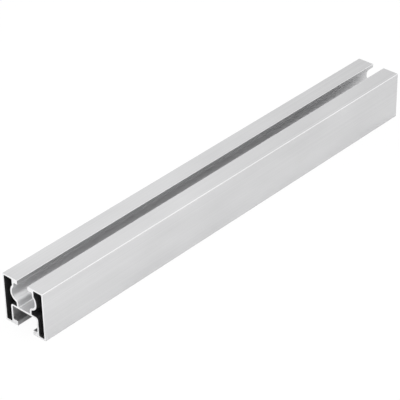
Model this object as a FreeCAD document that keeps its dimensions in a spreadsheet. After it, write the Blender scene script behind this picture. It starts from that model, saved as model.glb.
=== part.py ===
import FreeCAD, Part
import math
import os
import Sketcher

# Solar mounting rail: one straight aluminium extrusion with a T-slot on top, an open channel
# underneath and a hollow chamber down each side. Millimetres; the rail lies along X with its
# middle at X = 0, the middle plane of the section is Y = 0 and the underside is Z = 0.

# Driving sizes
SIZES = {
    # Outside of the section
    "rail_length": 400.0,
    "rail_width": 40.0,
    "rail_height": 40.0,
    "outer_edge_radius": 0.5,
    # Walls
    "side_wall": 1.25,
    "top_wall": 1.2,
    "bottom_wall": 1.5,
    "inner_wall": 1.5,
    "web_thickness": 1.5,
    # T-slot, from its mouth down to the web
    "mouth_width": 10.4,
    "lip_thickness": 3.5,
    "lip_edge_radius": 0.3,
    "lip_tip_radius": 0.9,
    "lip_root_radius": 1.2,
    "throat_width": 18.5,
    "throat_height": 2.5,
    "bulb_width": 22.8,
    "bulb_upper_radius": 7.0,
    "bulb_side_height": 0.8,
    "bulb_lower_radius": 4.6,
    "neck_width": 11.5,
    "neck_height": 2.5,
    "neck_root_radius": 0.8,
    # Channel on the underside
    "channel_width": 24.0,
    "channel_corner_radius": 0.8,
    "channel_mouth_width": 15.5,
    "channel_lip_thickness": 4.0,
    "channel_lip_radius": 0.4,
    # Side chambers, and the curves of their inner side above and below the bulb
    "chamber_corner_radius": 0.7,
    "throat_curve_radius": 1.0,
    "neck_curve_radius": 2.0,
}

# How close an edge has to be to its stated place to be taken for it
EDGE_MATCH = 0.01


class Size:
    """A length worked out from the sheet: its value now, and the expression that keeps it driven."""

    def __init__(self, value, expression):
        self.value = value
        self.expression = expression

    def __add__(self, other):
        return Size(self.value + other.value, f"({self.expression} + {other.expression})")

    def __sub__(self, other):
        return Size(self.value - other.value, f"({self.expression} - {other.expression})")

    def half(self):
        """Half of the length."""
        return Size(self.value / 2, f"({self.expression} / 2)")

    def mean_with(self, other):
        """The geometric mean of two lengths."""
        expression = f"sqrt({self.expression} * {other.expression})"
        return Size(math.sqrt(self.value * other.value), expression)


def size(name):
    """A driving size by its name in the sheet."""
    return Size(SIZES[name], f"Sizes.{name}")


# The middle plane of the section and the underside of the rail
middle = Size(0.0, "0")
ground = Size(0.0, "0")


def swerve_drop(shift, first_radius, last_radius):
    """Height lost where an upright side shifts sideways through two arcs that touch."""
    reach = first_radius + last_radius
    return shift.mean_with(reach + reach - shift)


# Half widths of the section
half_width = size("rail_width").half()
half_mouth = size("mouth_width").half()
half_throat = size("throat_width").half()
half_bulb = size("bulb_width").half()
half_neck = size("neck_width").half()
half_channel = size("channel_width").half()
half_channel_mouth = size("channel_mouth_width").half()

# Curves of the slot; the chamber's inner side follows them one wall away
wall = size("inner_wall")
throat_radii = (size("throat_curve_radius") + wall, size("bulb_upper_radius"))
neck_radii = (size("bulb_lower_radius"), size("neck_curve_radius") + wall)
chamber_throat_radii = (size("throat_curve_radius"), size("bulb_upper_radius") + wall)
chamber_neck_radii = (size("bulb_lower_radius") + wall, size("neck_curve_radius"))

# Heights of the section, from the top down
top = size("rail_height")
lip_underside = top - size("lip_thickness")
throat_foot = lip_underside - size("throat_height")
bulb_shoulder = throat_foot - swerve_drop(half_bulb - half_throat, *throat_radii)
bulb_foot = bulb_shoulder - size("bulb_side_height")
neck_head = bulb_foot - swerve_drop(half_bulb - half_neck, *neck_radii)
web_top = neck_head - size("neck_height")
web_underside = web_top - size("web_thickness")
channel_lip_top = size("channel_lip_thickness")

# Outer limits of the side chambers
chamber_side = half_width - size("side_wall")
chamber_top = top - size("top_wall")
chamber_bottom = size("bottom_wall")


# Outlines are lists of steps. A corner joins an upright and a level side, rounded where it has
# a radius; a swerve shifts an upright side across on its way down, with two arcs that touch.


def corner(across, height, radius=None):
    """A corner of an outline, at its distance from the middle plane and its height."""
    return {"first": across, "last": across, "height": height, "radius": radius}


def swerve(first, last, height, radii):
    """A swerve that starts at a height, from one distance from the middle plane to another."""
    return {"first": first, "last": last, "height": height, "radii": radii}


def slot_outline():
    """Right half of the T-slot, from the open mouth down to the web."""
    return [
        corner(middle, top),
        corner(half_mouth, top),
        corner(half_mouth, lip_underside),
        corner(half_throat, lip_underside, size("lip_root_radius")),
        swerve(half_throat, half_bulb, throat_foot, throat_radii),
        swerve(half_bulb, half_neck, bulb_foot, neck_radii),
        corner(half_neck, web_top, size("neck_root_radius")),
        corner(middle, web_top),
    ]


def channel_outline():
    """Right half of the channel, from the web down through its open mouth."""
    return [
        corner(middle, web_underside),
        corner(half_channel, web_underside, size("channel_corner_radius")),
        corner(half_channel, channel_lip_top, size("channel_corner_radius")),
        corner(half_channel_mouth, channel_lip_top),
        corner(half_channel_mouth, ground),
        corner(middle, ground),
    ]


def chamber_outline():
    """Right side chamber, down its inner side and back up the outer wall."""
    radius = size("chamber_corner_radius")
    return [
        corner(chamber_side, chamber_top, radius),
        corner(half_throat + wall, chamber_top, radius),
        swerve(half_throat + wall, half_bulb + wall, throat_foot, chamber_throat_radii),
        swerve(half_bulb + wall, half_neck + wall, bulb_foot, chamber_neck_radii),
        corner(half_neck + wall, web_top, radius),
        corner(half_channel + wall, web_top, size("channel_corner_radius") + wall),
        corner(half_channel + wall, chamber_bottom, radius),
        corner(chamber_side, chamber_bottom, radius),
    ]


def bar_outline():
    """Right half of the solid bar that the slot, the channel and the chambers are cut from."""
    return [
        corner(middle, top),
        corner(half_width, top),
        corner(half_width, ground),
        corner(middle, ground),
    ]


def toward(start, end, distance):
    """The point at a distance from start on the way to end."""
    span = math.dist(start, end)
    return tuple(a + (b - a) * distance / span for a, b in zip(start, end))


def swerve_points(step):
    """Start, meeting point and end of a swerve, and the centres of its two arcs."""
    first, last = step["first"].value, step["last"].value
    first_radius, last_radius = (radius.value for radius in step["radii"])
    shift = Size(abs(last - first), "")
    drop = swerve_drop(shift, *step["radii"]).value
    side = math.copysign(1.0, last - first)
    start = (first, step["height"].value)
    end = (last, step["height"].value - drop)
    first_centre = (first + side * first_radius, start[1])
    last_centre = (last - side * last_radius, end[1])
    return start, toward(first_centre, last_centre, first_radius), end, first_centre, last_centre


def step_ends(steps):
    """Where each step is entered and left: on its sides, clear of the corner's rounding."""
    ends = []
    for step in steps:
        if "radii" in step:
            points = swerve_points(step)
            ends.append((points[0], points[2]))
        else:
            point = (step["first"].value, step["height"].value)
            ends.append((point, point))
    rounded = []
    for place, (step, (entry, leave)) in enumerate(zip(steps, ends)):
        if step.get("radius"):
            radius = step["radius"].value
            following = ends[(place + 1) % len(steps)][0]
            entry = toward(entry, ends[place - 1][1], radius)
            leave = toward(leave, following, radius)
        rounded.append((entry, leave))
    return rounded


def drive(sketch, size_driven, *constraint):
    """Add a constraint that carries a length and tie the length to the sheet."""
    index = sketch.addConstraint(Sketcher.Constraint(*constraint, size_driven.value))
    sketch.setExpression(f"Constraints[{index}]", size_driven.expression)


def add_arc(sketch, start, end, centre, radius):
    """Draw the short arc from start to end; give its index and which of its ends is which."""
    from_x, from_y = start[0] - centre[0], start[1] - centre[1]
    to_x, to_y = end[0] - centre[0], end[1] - centre[1]
    turns_left = from_x * to_y - from_y * to_x > 0
    angles = [math.atan2(from_y, from_x), math.atan2(to_y, to_x)]
    if not turns_left:
        angles.reverse()
    axis = FreeCAD.Vector(0, 0, 1)
    circle = Part.Circle(FreeCAD.Vector(*centre, 0), axis, radius.value)
    index = sketch.addGeometry(Part.ArcOfCircle(circle, *angles), False)
    drive(sketch, radius, "Radius", index)
    return (index, 1, 2) if turns_left else (index, 2, 1)


def add_side(sketch, start, end, step, following):
    """Draw the side between two steps and hold it: upright across, or level at its height."""
    line = Part.LineSegment(FreeCAD.Vector(*start, 0), FreeCAD.Vector(*end, 0))
    index = sketch.addGeometry(line, False)
    if step["last"].expression == following["first"].expression:
        sketch.addConstraint(Sketcher.Constraint("Vertical", index))
        place, direction, axis = step["last"], "DistanceX", -2
    else:
        sketch.addConstraint(Sketcher.Constraint("Horizontal", index))
        place, direction, axis = step["height"], "DistanceY", -1
    if place.expression == middle.expression:
        sketch.addConstraint(Sketcher.Constraint("PointOnObject", index, 1, axis))
    else:
        drive(sketch, place, direction, -1, 1, index, 1)
    return (index, 1, 2)


def draw_outline(sketch, steps):
    """Draw a closed outline through its steps, with every size in it tied to the sheet."""
    ends = step_ends(steps)
    pieces = []
    for place, step in enumerate(steps):
        entry, leave = ends[place]
        if "radii" in step:
            _, meeting, _, first_centre, last_centre = swerve_points(step)
            first_arc = add_arc(sketch, entry, meeting, first_centre, step["radii"][0])
            last_arc = add_arc(sketch, meeting, leave, last_centre, step["radii"][1])
            drive(sketch, step["height"], "DistanceY", -1, 1, first_arc[0], 3)
            pieces += [("arc", first_arc), ("arc", last_arc)]
        elif step["radius"]:
            point = (step["first"].value, step["height"].value)
            centre = tuple(a + b - c for a, b, c in zip(entry, leave, point))
            pieces.append(("arc", add_arc(sketch, entry, leave, centre, step["radius"])))
        after = (place + 1) % len(steps)
        side = add_side(sketch, leave, ends[after][0], step, steps[after])
        pieces.append(("side", side))
    for (kind, piece), (next_kind, next_piece) in zip(pieces, pieces[1:] + pieces[:1]):
        joint = "Coincident" if kind == next_kind == "side" else "Tangent"
        sketch.addConstraint(
            Sketcher.Constraint(joint, piece[0], piece[2], next_piece[0], next_piece[1])
        )


def make_sheet(doc):
    """The sheet of driving sizes, one row each, with the name beside the number."""
    sheet = doc.addObject("Spreadsheet::Sheet", "Sizes")
    for row, (name, value) in enumerate(SIZES.items(), start=1):
        sheet.set(f"A{row}", name)
        sheet.set(f"B{row}", str(value))
        sheet.setAlias(f"B{row}", name)
    doc.recompute()


def origin_plane(body, role):
    """One of the body's own origin planes."""
    for feature in body.Origin.OriginFeatures:
        if feature.Role == role:
            return feature
    raise RuntimeError(f"no origin plane {role}")


def extrude(body, kind, name, steps):
    """A pad or a pocket of an outline over the whole length, half to each side of the middle."""
    sketch = body.newObject("Sketcher::SketchObject", f"{name}Section")
    sketch.AttachmentSupport = (origin_plane(body, "YZ_Plane"), [""])
    sketch.MapMode = "FlatFace"
    draw_outline(sketch, steps)
    feature = body.newObject(kind, name)
    feature.Profile = sketch
    feature.SideType = "Symmetric"
    feature.setExpression("Length", size("rail_length").expression)
    feature.Refine = True
    body.Document.recompute()
    return feature


def long_edges(shape, places):
    """Names of the edges that run the length of the rail at the given places of both halves."""
    names = []
    for number, edge in enumerate(shape.Edges, start=1):
        box = edge.BoundBox
        middle_of_edge = (abs(box.Center.y), box.Center.z)
        runs_along = box.XLength > max(box.YLength, box.ZLength)
        near = [math.dist(middle_of_edge, (y.value, z.value)) < EDGE_MATCH for y, z in places]
        if runs_along and any(near):
            names.append(f"Edge{number}")
    if len(names) != len(places) * 2:
        raise RuntimeError(f"{len(names)} edges found at {len(places)} places")
    return names


def round_edges(body, name, radius, places):
    """Round the long edges at the given places, on both halves of the rail."""
    base = body.Tip
    fillet = body.newObject("PartDesign::Fillet", name)
    fillet.Base = (base, long_edges(base.Shape, places))
    fillet.setExpression("Radius", radius.expression)
    fillet.Refine = True
    body.Tip = fillet
    body.Document.recompute()


def make_rail(doc):
    """The rail: half a bar with its three cuts, the mirror image of both, and rounded edges."""
    body = doc.addObject("PartDesign::Body", "rail")
    body.Label = "rail"
    half = [
        extrude(body, "PartDesign::Pad", "Bar", bar_outline()),
        extrude(body, "PartDesign::Pocket", "Slot", slot_outline()),
        extrude(body, "PartDesign::Pocket", "Channel", channel_outline()),
        extrude(body, "PartDesign::Pocket", "Chamber", chamber_outline()),
    ]
    mirrored = body.newObject("PartDesign::Mirrored", "BothHalves")
    mirrored.Originals = half
    mirrored.MirrorPlane = (origin_plane(body, "XZ_Plane"), [""])
    mirrored.Refine = True
    body.Tip = mirrored
    doc.recompute()

    round_edges(
        body,
        "OuterEdges",
        size("outer_edge_radius"),
        [(half_width, top), (half_width, ground)],
    )
    round_edges(body, "MouthEdges", size("lip_edge_radius"), [(half_mouth, top)])
    round_edges(body, "LipTips", size("lip_tip_radius"), [(half_mouth, lip_underside)])
    round_edges(
        body,
        "ChannelLips",
        size("channel_lip_radius"),
        [(half_channel_mouth, channel_lip_top), (half_channel_mouth, ground)],
    )
    body.Placement = FreeCAD.Placement()
    doc.recompute()
    return body


def check(doc):
    """Stop if any object failed, or if any shape of the rail is empty or not sound."""
    for item in doc.Objects:
        if "Invalid" in item.State or "Error" in item.State:
            raise RuntimeError(f"{item.Label} did not build: {item.State}")
        if item.isDerivedFrom("PartDesign::Feature") or item.isDerivedFrom("PartDesign::Body"):
            if item.Shape.isNull() or not item.Shape.isValid():
                raise RuntimeError(f"{item.Label} has no sound shape")


doc = FreeCAD.newDocument("SolarMountingRail")
make_sheet(doc)
rail = make_rail(doc)
check(doc)

os.makedirs("parts", exist_ok=True)
rail.Shape.exportStep("parts/rail.step")
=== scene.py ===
import bpy
from mathutils import Matrix, Vector


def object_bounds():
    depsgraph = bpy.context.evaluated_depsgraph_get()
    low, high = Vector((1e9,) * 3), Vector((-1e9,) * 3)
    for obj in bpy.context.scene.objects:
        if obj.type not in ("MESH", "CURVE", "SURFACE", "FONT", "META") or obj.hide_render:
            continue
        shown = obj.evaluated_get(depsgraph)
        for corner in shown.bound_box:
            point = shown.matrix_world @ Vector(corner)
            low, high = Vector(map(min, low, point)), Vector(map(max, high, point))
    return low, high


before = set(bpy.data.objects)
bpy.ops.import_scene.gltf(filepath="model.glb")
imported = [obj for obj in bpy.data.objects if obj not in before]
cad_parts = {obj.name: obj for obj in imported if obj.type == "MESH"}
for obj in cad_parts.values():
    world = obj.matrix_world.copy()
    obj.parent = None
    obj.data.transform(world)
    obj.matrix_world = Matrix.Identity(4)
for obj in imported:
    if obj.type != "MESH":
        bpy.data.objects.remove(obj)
first_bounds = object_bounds()

# Half the rail's length and width, and the height of its top, in metres
HALF_LENGTH, HALF_WIDTH, TOP = first_bounds[1]

# Sizes of the section, in metres. The side of the bulb is an upper and a lower arc, each with
# its radius and the height of its centre
SIDE_WALL = 0.00125
TOP_WALL = 0.0012
BOTTOM_WALL = 0.0015
INNER_WALL = 0.0015
WEB_UNDERSIDE = 0.01546
WEB_TOP = WEB_UNDERSIDE + INNER_WALL
HALF_CHANNEL = 0.012
HALF_NECK = 0.00575
HALF_THROAT = 0.00925
HALF_MOUTH = 0.0052
HALF_BULB = 0.0114
LIP_THICKNESS = 0.0035
UPPER_RADIUS = 0.007
UPPER_HEIGHT = 0.02798
LOWER_RADIUS = 0.0046
LOWER_HEIGHT = 0.02718
OUTER_EDGE_RADIUS = 0.0005
MOUTH_EDGE_RADIUS = 0.0003
NECK_ROOT_RADIUS = 0.0008

# Borders between the zones of the metal, each inside a wall and clear of its two skins. The
# shelf's border starts at the neck's and rises outwards
HALF_WALL = INNER_WALL / 2
OUTER_BORDER = HALF_WIDTH - SIDE_WALL / 2
LOW_BORDER = BOTTOM_WALL / 2
HIGH_BORDER = TOP - TOP_WALL / 2
NECK_BORDER = HALF_NECK + HALF_WALL
WEB_BORDER = WEB_UNDERSIDE + HALF_WALL
CHANNEL_BORDER = HALF_CHANNEL + HALF_WALL
THROAT_BORDER = HALF_THROAT + HALF_WALL / 3
SHELF_HEIGHT = 0.0202
SHELF_SLOPE = 1.05
UPPER_BULB = ((HALF_BULB - UPPER_RADIUS, UPPER_HEIGHT), UPPER_RADIUS + HALF_WALL)
LOWER_BULB = ((HALF_BULB - LOWER_RADIUS, LOWER_HEIGHT), LOWER_RADIUS + HALF_WALL)

# How far into the metal the finish of a face reaches: the slot's painted light and roughness
# under the lips, and the sawn finish on the ends
LIP_SKIN = 0.0001
SLOT_CEILING = TOP - LIP_THICKNESS + LIP_SKIN
END_SKIN = 0.00002

# Rounded edges: the arc's centre in the section, the way from it to the arc, and its radius, and
# the share of the radius over which the rubbed finish and its painted highlight come in
OUTER_EDGE = (
    (HALF_WIDTH - OUTER_EDGE_RADIUS, TOP - OUTER_EDGE_RADIUS),
    (1.0, 1.0),
    OUTER_EDGE_RADIUS,
)
MOUTH_EDGE = (
    (HALF_MOUTH + MOUTH_EDGE_RADIUS, TOP - MOUTH_EDGE_RADIUS),
    (-1.0, 1.0),
    MOUTH_EDGE_RADIUS,
)
NECK_ROOT = (
    (HALF_NECK - NECK_ROOT_RADIUS, WEB_TOP + NECK_ROOT_RADIUS),
    (1.0, -1.0),
    NECK_ROOT_RADIUS,
)
RUB_REACH = 0.25

# Finish of the drawn faces and of the sawn ends
DRAWN_DARK = (0.57, 0.57, 0.575, 1.0)
DRAWN_LIGHT = (0.66, 0.66, 0.665, 1.0)
DRAWN_ROUGHNESS = (0.5, 0.56)
SAWN_DARK = (0.76, 0.76, 0.765, 1.0)
SAWN_LIGHT = (0.86, 0.86, 0.865, 1.0)
SAWN_ROUGHNESS = (0.5, 0.62)

# How bright the inner walls and the rubbed edges are beside the outer faces, and how rough: the
# slot's walls carry painted light, the channel and chambers painted shade, and the rubbed edges
# and the neck's root a painted highlight, with wear on the outer edges
SLOT_PAINTED_LIGHT = 1.14
CHANNEL_PAINTED_SHADE = 0.75
CHAMBER_PAINTED_SHADE = 0.25
EDGE_WEAR_AND_HIGHLIGHT_GAIN = 1.5
SLOT_ROUGHNESS = 0.62
RUBBED_ROUGHNESS = 0.25
ROOT_ROUGHNESS = 0.42

# Marks in the metal: how many to the metre along X, Y and Z, how fine they are, the clouds'
# share of the tint, and the relief
FINE_LINES = (2.0, 2600.0, 2600.0)
BROAD_LINES = (1.5, 700.0, 700.0)
CLOUDS = (14.0, 45.0, 45.0)
SAW_MARKS = (1.0, 300.0, 3200.0)
DRAWN_DETAIL = 2.0
SAWN_DETAIL = 3.0
CLOUD_SHARE = 0.35
RELIEF_DEPTH = 0.00002
RELIEF_STRENGTH = 0.15

# Parts of the noise's range that carry the drawn faces' tint, and every other change
TINT_SPREAD = (0.35, 0.65)
NOISE_SPREAD = (0.3, 0.7)

# Studio: the floor, and how much of it is plain white where it is seen and where it is mirrored
WHITE = (1.0, 1.0, 1.0, 1.0)
FLOOR_COLOUR = (0.9, 0.9, 0.9, 1.0)
FLOOR_SIZE = 40.0
FLOOR_HEIGHT = -0.0002
SEEN_WHITE = 0.95
MIRRORED_WHITE = 0.1

# Camera: where the photograph was taken from
EYE = Vector((-0.8726, -0.7860, 0.7805))
FORWARD = Vector((0.6150213, 0.5659149, -0.5490802))
DOWN = Vector((-0.4171275, -0.3574313, -0.8356120))
SENSOR_WIDTH = 36.0
LENS = 166.26
NEAREST = 0.01
FARTHEST = 100.0

# Places along the rail that the lamps are turned to
NEAR_HALF = (-0.1, 0.0, 0.03)
NEAR_END = (-0.2, 0.0, 0.04)

# Places of a Mix node's sockets for each kind of value: factor, first, second and result
NUMBER_SOCKETS = (0, 2, 3, 0)
COLOUR_SOCKETS = (0, 6, 7, 2)


class Shader:
    """A node tree that is filled step by step; a value is a socket, a number or a colour."""

    def __init__(self, tree):
        self.tree = tree
        tree.nodes.clear()

    def node(self, kind, **settings):
        """Add a node; settings are its properties."""
        made = self.tree.nodes.new(kind)
        for key, value in settings.items():
            setattr(made, key, value)
        return made

    def feed(self, target, value):
        """Link an input to a socket, or set it to a plain value."""
        if isinstance(value, bpy.types.NodeSocket):
            self.tree.links.new(value, target)
        else:
            target.default_value = value

    def math(self, operation, first, second=None):
        """One step of arithmetic or comparison on one or two values."""
        made = self.node("ShaderNodeMath", operation=operation)
        self.feed(made.inputs[0], first)
        if second is not None:
            self.feed(made.inputs[1], second)
        return made.outputs[0]

    def below(self, value, limit):
        """1 where a value is under a limit."""
        return self.math("LESS_THAN", value, limit)

    def above(self, value, limit):
        """1 where a value is over a limit."""
        return self.math("GREATER_THAN", value, limit)

    def both(self, first, second):
        """1 where two masks are 1."""
        return self.math("MULTIPLY", first, second)

    def either(self, first, second):
        """1 where one of two masks is 1."""
        return self.math("MAXIMUM", first, second)

    def remap(self, value, span, to_span=(0.0, 1.0)):
        """Carry a value from one range to another, held at its ends."""
        made = self.node("ShaderNodeMapRange", clamp=True)
        self.feed(made.inputs["Value"], value)
        for name, limit in zip(("From Min", "From Max", "To Min", "To Max"), span + to_span):
            self.feed(made.inputs[name], limit)
        return made.outputs["Result"]

    def mix(self, kind, sockets, factor, first, second):
        """Blend two values of one kind."""
        made = self.node("ShaderNodeMix", data_type=kind)
        for index, value in zip(sockets, (factor, first, second)):
            self.feed(made.inputs[index], value)
        return made.outputs[sockets[-1]]

    def blend(self, factor, first, second):
        """Blend two numbers."""
        return self.mix("FLOAT", NUMBER_SOCKETS, factor, first, second)

    def blend_colours(self, factor, first, second):
        """Blend two colours."""
        return self.mix("RGBA", COLOUR_SOCKETS, factor, first, second)

    def scale_colour(self, colour, factor):
        """A colour times a number."""
        made = self.node("ShaderNodeVectorMath", operation="SCALE")
        self.feed(made.inputs[0], colour)
        self.feed(made.inputs["Scale"], factor)
        return made.outputs["Vector"]

    def noise(self, position, scale, detail):
        """Noise with its own scale along each axis."""
        mapping = self.node("ShaderNodeMapping")
        self.feed(mapping.inputs["Vector"], position)
        self.feed(mapping.inputs["Scale"], scale)
        made = self.node("ShaderNodeTexNoise")
        self.feed(made.inputs["Vector"], mapping.outputs["Vector"])
        self.feed(made.inputs["Scale"], 1.0)
        self.feed(made.inputs["Detail"], detail)
        return made.outputs["Fac"]

    def ray_masks(self):
        """Masks of camera rays, and of glossy or transmission rays."""
        path = self.node("ShaderNodeLightPath")
        mirrored = self.either(path.outputs["Is Glossy Ray"], path.outputs["Is Transmission Ray"])
        return path.outputs["Is Camera Ray"], mirrored


def new_material(name):
    """An empty node material, and its shader."""
    material = bpy.data.materials.new(name)
    material.use_nodes = True
    return material, Shader(material.node_tree)


def circle_mask(shader, across, height, circle):
    """1 inside a circle of the section."""
    centre, radius = circle
    sideways = shader.math("SUBTRACT", across, centre[0])
    upright = shader.math("SUBTRACT", height, centre[1])
    square = shader.math(
        "ADD",
        shader.math("MULTIPLY", sideways, sideways),
        shader.math("MULTIPLY", upright, upright),
    )
    return shader.below(square, radius * radius)


def slot_region(shader, across, height):
    """1 on the T-slot's side of its walls: the neck, the shelf and throat, and the bulb."""
    region = shader.both(shader.below(across, NECK_BORDER), shader.above(height, WEB_BORDER))
    run = shader.math("SUBTRACT", across, NECK_BORDER)
    rise = shader.math("SUBTRACT", height, SHELF_HEIGHT)
    over_shelf = shader.above(rise, shader.math("MULTIPLY", run, SHELF_SLOPE))
    region = shader.either(region, shader.both(shader.below(across, THROAT_BORDER), over_shelf))
    for circle in (UPPER_BULB, LOWER_BULB):
        region = shader.either(region, circle_mask(shader, across, height, circle))
    return region


def zone_masks(shader, across, height):
    """Masks of the walls of the T-slot, of the under channel and of the side chambers, whose
    colour carries painted light and shade.
    """
    slot = slot_region(shader, across, height)
    channel = shader.both(shader.below(across, CHANNEL_BORDER), shader.below(height, WEB_BORDER))
    within = shader.both(
        shader.below(across, OUTER_BORDER),
        shader.both(shader.above(height, LOW_BORDER), shader.below(height, HIGH_BORDER)),
    )
    middle = shader.either(slot, channel)
    chambers = shader.both(within, shader.math("SUBTRACT", 1.0, middle))
    slot = shader.both(slot, shader.below(height, SLOT_CEILING))
    channel = shader.both(channel, shader.above(height, LOW_BORDER))
    return slot, channel, chambers


def edge_mask(shader, across, height, edge):
    """1 along the middle of a rounded edge, falling to 0 where it meets the flat faces."""
    centre, outward, radius = edge
    sideways = shader.math("SUBTRACT", across, centre[0])
    upright = shader.math("SUBTRACT", height, centre[1])
    least = shader.math(
        "MINIMUM",
        shader.math("MULTIPLY", sideways, outward[0]),
        shader.math("MULTIPLY", upright, outward[1]),
    )
    return shader.remap(least, (0.0, radius * RUB_REACH))


def rounded_masks(shader, across, height, slot):
    """Masks of the edges along the outside and the mouth, worn by rubbing and given a painted
    highlight, and of the neck's root, which has a painted highlight.
    """
    outer = edge_mask(shader, across, height, OUTER_EDGE)
    mouth = edge_mask(shader, across, height, MOUTH_EDGE)
    root = shader.both(slot, edge_mask(shader, across, height, NECK_ROOT))
    return shader.either(outer, mouth), root


def drawn_finish_and_painted_light(shader, position, across, height):
    """Colour, roughness and relief of the drawn faces, with their die lines, painted light in the
    T-slot, painted shade in the under channel and side chambers, and painted highlights on the
    rounded edges.
    """
    slot, channel, chambers = zone_masks(shader, across, height)
    rubbed_and_highlit, root = rounded_masks(shader, across, height, slot)
    fine = shader.noise(position, FINE_LINES, DRAWN_DETAIL)
    broad = shader.noise(position, BROAD_LINES, DRAWN_DETAIL)
    lines = shader.blend(broad, fine, broad)
    clouds = shader.noise(position, CLOUDS, DRAWN_DETAIL)
    tint = shader.remap(shader.blend(CLOUD_SHARE, lines, clouds), TINT_SPREAD)
    colour = shader.blend_colours(tint, DRAWN_DARK, DRAWN_LIGHT)
    # The T-slot's walls are painted brighter: painted light for the light that reaches in through
    # the mouth.
    painted_light_shade_and_wear = shader.blend(slot, 1.0, SLOT_PAINTED_LIGHT)
    # The under channel is painted darker: painted shade of the recess.
    painted_light_shade_and_wear = shader.blend(channel, painted_light_shade_and_wear, CHANNEL_PAINTED_SHADE)
    # The side chambers are painted near black: painted shade of the deep hollows.
    painted_light_shade_and_wear = shader.blend(chambers, painted_light_shade_and_wear, CHAMBER_PAINTED_SHADE)
    # The rubbed edges and the neck's root are painted brighter: a painted highlight along each,
    # with wear on the outer edges.
    painted_light_shade_and_wear = shader.blend(shader.either(rubbed_and_highlit, root), painted_light_shade_and_wear, EDGE_WEAR_AND_HIGHLIGHT_GAIN)
    colour = shader.scale_colour(colour, painted_light_shade_and_wear)
    roughness = shader.remap(lines, NOISE_SPREAD, DRAWN_ROUGHNESS)
    roughness = shader.blend(slot, roughness, SLOT_ROUGHNESS)
    roughness = shader.blend(rubbed_and_highlit, roughness, RUBBED_ROUGHNESS)
    roughness = shader.blend(root, roughness, ROOT_ROUGHNESS)
    return colour, roughness, lines


def sawn_finish(shader, position):
    """Colour, roughness and relief of the ends, with the marks of the saw."""
    marks = shader.noise(position, SAW_MARKS, SAWN_DETAIL)
    tint = shader.remap(marks, NOISE_SPREAD)
    colour = shader.blend_colours(tint, SAWN_DARK, SAWN_LIGHT)
    roughness = shader.remap(marks, NOISE_SPREAD, SAWN_ROUGHNESS)
    return colour, roughness, marks


def aluminium():
    """Satin anodised extrusion with die lines along its length and bright sawn ends, with painted
    light in the T-slot, painted shade in the under channel and side chambers, and painted
    highlights on the rounded edges.
    """
    material, shader = new_material("anodised_aluminium")
    position = shader.node("ShaderNodeTexCoord").outputs["Object"]
    axes = shader.node("ShaderNodeSeparateXYZ")
    shader.feed(axes.inputs["Vector"], position)
    along = shader.math("ABSOLUTE", axes.outputs["X"])
    across = shader.math("ABSOLUTE", axes.outputs["Y"])
    finish_and_painted_light = drawn_finish_and_painted_light(shader, position, across, axes.outputs["Z"])
    drawn_colour, drawn_roughness, drawn_relief = finish_and_painted_light
    sawn_colour, sawn_roughness, sawn_relief = sawn_finish(shader, position)
    at_end = shader.above(along, HALF_LENGTH - END_SKIN)
    colour = shader.blend_colours(at_end, drawn_colour, sawn_colour)
    roughness = shader.blend(at_end, drawn_roughness, sawn_roughness)
    relief = shader.blend(at_end, drawn_relief, sawn_relief)

    bump = shader.node("ShaderNodeBump")
    shader.feed(bump.inputs["Strength"], RELIEF_STRENGTH)
    shader.feed(bump.inputs["Distance"], RELIEF_DEPTH)
    shader.feed(bump.inputs["Height"], relief)

    surface = shader.node("ShaderNodeBsdfPrincipled")
    shader.feed(surface.inputs["Metallic"], 1.0)
    shader.feed(surface.inputs["Base Color"], colour)
    shader.feed(surface.inputs["Roughness"], roughness)
    shader.feed(surface.inputs["Normal"], bump.outputs["Normal"])
    output = shader.node("ShaderNodeOutputMaterial")
    shader.feed(output.inputs["Surface"], surface.outputs["BSDF"])
    return material


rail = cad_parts["rail"]
rail.data.materials.clear()
rail.data.materials.append(aluminium())


def floor_material():
    """A floor that is partly lit and partly plain white where it is seen or mirrored."""
    material, shader = new_material("floor")
    lit = shader.node("ShaderNodeBsdfDiffuse")
    shader.feed(lit.inputs["Color"], FLOOR_COLOUR)
    white = shader.node("ShaderNodeEmission")
    shader.feed(white.inputs["Color"], WHITE)
    seen, mirrored = shader.ray_masks()
    plain = shader.math(
        "ADD",
        shader.math("MULTIPLY", seen, SEEN_WHITE),
        shader.math("MULTIPLY", mirrored, MIRRORED_WHITE),
    )
    mixed = shader.node("ShaderNodeMixShader")
    shader.feed(mixed.inputs["Fac"], plain)
    shader.feed(mixed.inputs[1], lit.outputs["BSDF"])
    shader.feed(mixed.inputs[2], white.outputs["Emission"])
    output = shader.node("ShaderNodeOutputMaterial")
    shader.feed(output.inputs["Surface"], mixed.outputs["Shader"])
    return material


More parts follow.
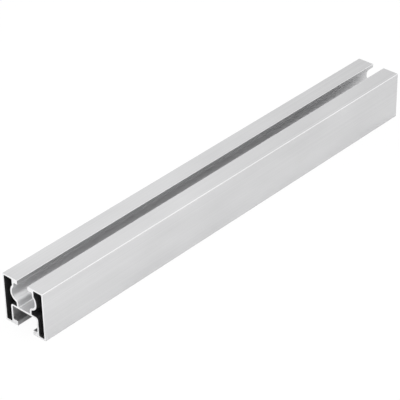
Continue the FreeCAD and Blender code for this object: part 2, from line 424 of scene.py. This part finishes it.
bpy.ops.mesh.primitive_plane_add(size=FLOOR_SIZE, location=(0.0, 0.0, FLOOR_HEIGHT))
floor = bpy.context.object
floor.name = "floor"
floor.data.materials.append(floor_material())


def studio_world():
    """Soft white light from all round, with a strength of 1 for every kind of ray."""
    world = bpy.data.worlds.new("studio")
    world.use_nodes = True
    shader = Shader(world.node_tree)
    background = shader.node("ShaderNodeBackground")
    shader.feed(background.inputs["Color"], WHITE)
    shader.feed(background.inputs["Strength"], 1.0)
    output = shader.node("ShaderNodeOutputWorld")
    shader.feed(output.inputs["Surface"], background.outputs["Background"])
    return world


bpy.context.scene.world = studio_world()


def soft_lamp(name, place, target, size, power):
    """A square soft lamp at a place, turned to a target."""
    data = bpy.data.lights.new(name, "AREA")
    data.shape = "SQUARE"
    data.size = size
    data.energy = power
    lamp = bpy.data.objects.new(name, data)
    bpy.context.scene.collection.objects.link(lamp)
    turn = (Vector(target) - Vector(place)).to_track_quat("-Z", "Y")
    lamp.matrix_world = Matrix.Translation(Vector(place)) @ turn.to_matrix().to_4x4()


soft_lamp("front_lamp", (-0.05, -0.35, 0.8), NEAR_HALF, size=0.3, power=1.8)
soft_lamp("side_lamp", (-0.5, -0.6, 0.6), NEAR_HALF, size=0.5, power=0.8)
soft_lamp("end_lamp", (-0.68, 0.0, 0.72), NEAR_HALF, size=0.3, power=0.95)
soft_lamp("back_lamp", (0.17, 0.34, 0.37), NEAR_END, size=0.3, power=0.09)


def photo_camera():
    """The camera that took the photograph."""
    data = bpy.data.cameras.new("camera")
    data.sensor_width = SENSOR_WIDTH
    data.lens = LENS
    data.clip_start = NEAREST
    data.clip_end = FARTHEST
    camera = bpy.data.objects.new("camera", data)
    bpy.context.scene.collection.objects.link(camera)
    back = -FORWARD.normalized()
    right = (-DOWN).cross(back).normalized()
    turn = Matrix((right, back.cross(right).normalized(), back)).transposed().to_4x4()
    camera.matrix_world = Matrix.Translation(EYE) @ turn
    return camera


bpy.context.scene.camera = photo_camera()
bpy.context.scene.view_settings.view_transform = "Standard"
